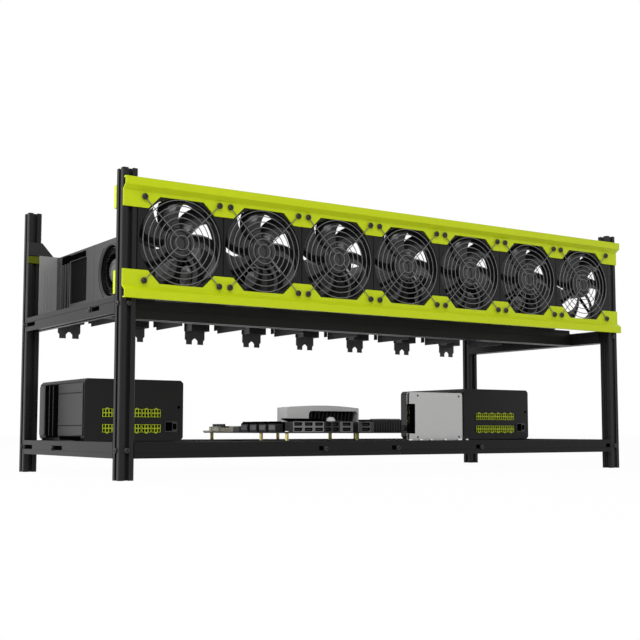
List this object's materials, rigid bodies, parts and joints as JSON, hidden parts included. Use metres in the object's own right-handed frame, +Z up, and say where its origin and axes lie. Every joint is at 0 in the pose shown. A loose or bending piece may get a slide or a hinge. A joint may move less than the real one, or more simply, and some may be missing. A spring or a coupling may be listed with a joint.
{
  "type": "open mining rig frame with its equipment",
  "caption": "Open black aluminium rig frame with a fan row between lime rails, a row of graphics cards, power supplies, a motherboard and a drive.",
  "frame": {"origin": "on the floor under the middle of the rig", "axes": "+X along the fan row to the right, +Y from the fans to the back, +Z up"},
  "size_m": [0.886, 0.375, 0.385],
  "materials": {
    "black_bar": "satin black anodised",
    "lime_steel": "smooth powder coat",
    "black_steel": "satin",
    "fan_plastic": "satin",
    "blade_plastic": "gloss",
    "shroud_plastic": "fine matte",
    "circuit_board": "satin black lacquer",
    "bracket_steel": "dark plated",
    "lime_plastic": "smooth",
    "port_metal": "plated",
    "slot_plastic": "moulded",
    "pale_plastic": "pale satin",
    "sink_metal": "extruded",
    "brass_post": "turned",
    "drive_case": "pale satin",
    "rest_rubber": "matt"
  },
  "bodies": {
    "frame": {"board_bars": "black_bar", "board_blocks": "slot_plastic", "board_ports": "port_metal", "card_boards": "circuit_board", "card_brackets": "bracket_steel", "card_rail": "lime_steel", "card_rail_ears": "black_steel", "card_rest": "rest_rubber", "card_shrouds": "shroud_plastic", "card_slots": "slot_plastic", "drive": "drive_case", "fan_frame_1": "fan_plastic", "fan_frame_2": "fan_plastic", "fan_frame_3": "fan_plastic", "fan_frame_4": "fan_plastic", "fan_frame_5": "fan_plastic", "fan_frame_6": "fan_plastic", "fan_frame_7": "fan_plastic", "fan_guards": "black_steel", "fan_rail_lower": "lime_steel", "fan_rail_lower_back": "lime_steel", "fan_rail_upper": "lime_steel", "fan_rail_upper_back": "lime_steel", "memory_slots": "slot_plastic", "motherboard": "circuit_board", "port_cover": "pale_plastic", "post_front_left": "black_bar", "post_front_right": "black_bar", "post_rear_left": "black_bar", "post_rear_right": "black_bar", "power_sockets": "lime_plastic", "power_supply_left": "black_steel", "power_supply_right": "black_steel", "processor_heatsink": "sink_metal", "shelf_rail_cross": "black_bar", "shelf_rail_left": "black_bar", "shelf_rail_right": "black_bar", "standoffs": "brass_post", "tray_rail_cross": "black_bar", "tray_rail_front": "black_bar", "tray_rail_left": "black_bar", "tray_rail_rear": "black_bar", "tray_rail_right": "black_bar"},
    "fan_spinner_1": {"fan_rotor_1": "blade_plastic"},
    "fan_spinner_2": {"fan_rotor_2": "blade_plastic"},
    "fan_spinner_3": {"fan_rotor_3": "blade_plastic"},
    "fan_spinner_4": {"fan_rotor_4": "blade_plastic"},
    "fan_spinner_5": {"fan_rotor_5": "blade_plastic"},
    "fan_spinner_6": {"fan_rotor_6": "blade_plastic"},
    "fan_spinner_7": {"fan_rotor_7": "blade_plastic"},
    "blower_1": {"card_blower_1": "blade_plastic"},
    "blower_2": {"card_blower_2": "blade_plastic"},
    "blower_3": {"card_blower_3": "blade_plastic"},
    "blower_4": {"card_blower_4": "blade_plastic"},
    "blower_5": {"card_blower_5": "blade_plastic"},
    "blower_6": {"card_blower_6": "blade_plastic"},
    "blower_7": {"card_blower_7": "blade_plastic"},
    "blower_8": {"card_blower_8": "blade_plastic"},
    "supply_spinner_left": {"power_supply_fan_left": "blade_plastic"},
    "supply_spinner_right": {"power_supply_fan_right": "blade_plastic"}
  },
  "joints": [
    {"name": "fan_spin_1", "type": "hinge", "parent": "frame", "child": "fan_spinner_1", "pos_m": [-0.36257, 0, 0.2975], "axis": [0, 1, 0], "continuous": true},
    {"name": "fan_spin_2", "type": "hinge", "parent": "frame", "child": "fan_spinner_2", "pos_m": [-0.24171, 0, 0.2975], "axis": [0, 1, 0], "continuous": true},
    {"name": "fan_spin_3", "type": "hinge", "parent": "frame", "child": "fan_spinner_3", "pos_m": [-0.12086, 0, 0.2975], "axis": [0, 1, 0], "continuous": true},
    {"name": "fan_spin_4", "type": "hinge", "parent": "frame", "child": "fan_spinner_4", "pos_m": [0, 0, 0.2975], "axis": [0, 1, 0], "continuous": true},
    {"name": "fan_spin_5", "type": "hinge", "parent": "frame", "child": "fan_spinner_5", "pos_m": [0.12086, 0, 0.2975], "axis": [0, 1, 0], "continuous": true},
    {"name": "fan_spin_6", "type": "hinge", "parent": "frame", "child": "fan_spinner_6", "pos_m": [0.24171, 0, 0.2975], "axis": [0, 1, 0], "continuous": true},
    {"name": "fan_spin_7", "type": "hinge", "parent": "frame", "child": "fan_spinner_7", "pos_m": [0.36257, 0, 0.2975], "axis": [0, 1, 0], "continuous": true},
    {"name": "blower_spin_1", "type": "hinge", "parent": "frame", "child": "blower_1", "pos_m": [-0.378, -0.0385, 0.2758], "axis": [1, 0, 0], "continuous": true},
    {"name": "blower_spin_2", "type": "hinge", "parent": "frame", "child": "blower_2", "pos_m": [-0.272, -0.0385, 0.2758], "axis": [1, 0, 0], "continuous": true},
    {"name": "blower_spin_3", "type": "hinge", "parent": "frame", "child": "blower_3", "pos_m": [-0.166, -0.0385, 0.2758], "axis": [1, 0, 0], "continuous": true},
    {"name": "blower_spin_4", "type": "hinge", "parent": "frame", "child": "blower_4", "pos_m": [-0.06, -0.0385, 0.2758], "axis": [1, 0, 0], "continuous": true},
    {"name": "blower_spin_5", "type": "hinge", "parent": "frame", "child": "blower_5", "pos_m": [0.046, -0.0385, 0.2758], "axis": [1, 0, 0], "continuous": true},
    {"name": "blower_spin_6", "type": "hinge", "parent": "frame", "child": "blower_6", "pos_m": [0.152, -0.0385, 0.2758], "axis": [1, 0, 0], "continuous": true},
    {"name": "blower_spin_7", "type": "hinge", "parent": "frame", "child": "blower_7", "pos_m": [0.258, -0.0385, 0.2758], "axis": [1, 0, 0], "continuous": true},
    {"name": "blower_spin_8", "type": "hinge", "parent": "frame", "child": "blower_8", "pos_m": [0.364, -0.0385, 0.2758], "axis": [1, 0, 0], "continuous": true},
    {"name": "supply_spin_left", "type": "hinge", "parent": "frame", "child": "supply_spinner_left", "pos_m": [-0.3375, 0.0995, 0.12], "axis": [0, 0, 1], "continuous": true},
    {"name": "supply_spin_right", "type": "hinge", "parent": "frame", "child": "supply_spinner_right", "pos_m": [0.3475, 0.0995, 0.12], "axis": [0, 0, 1], "continuous": true}
  ]
}
